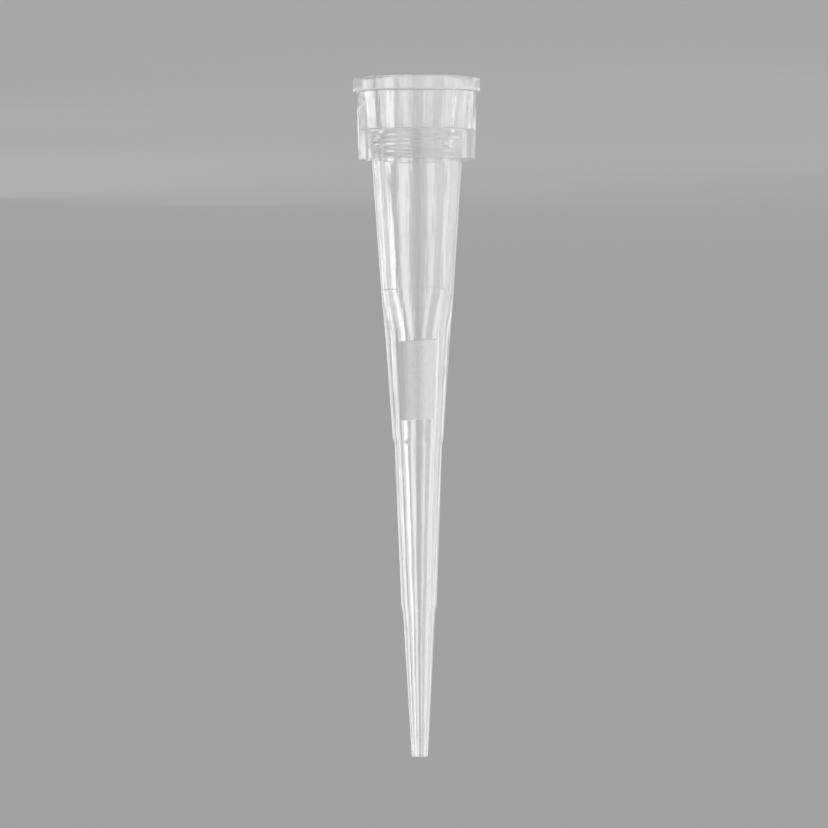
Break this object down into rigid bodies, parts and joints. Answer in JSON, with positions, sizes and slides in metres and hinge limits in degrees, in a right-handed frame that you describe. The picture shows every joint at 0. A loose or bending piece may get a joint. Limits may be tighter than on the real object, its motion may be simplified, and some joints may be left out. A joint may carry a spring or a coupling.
{
  "type": "filtered pipette tip",
  "caption": "Long, slender pipette tip for very small volumes: translucent stepped cone with a skirted collar, a rim and a white porous filter plug in its bore.",
  "frame": {"origin": "centre of the rim's plane, where the tip stands on its rim", "axes": "+Z along the tip's axis from the rim to the narrow end; X and Y are any two directions across it, because the tip is round"},
  "size_m": [0.0074, 0.0074, 0.039],
  "materials": {
    "natural_polypropylene": "injection-moulded natural polypropylene, uncoloured, milky and see-through, smooth moulded gloss",
    "porous_polyethylene": "sintered porous polyethylene, white, fine granular surface"
  },
  "bodies": {
    "root": {"tip_body": "natural_polypropylene", "filter_plug": "porous_polyethylene"}
  },
  "joints": []
}
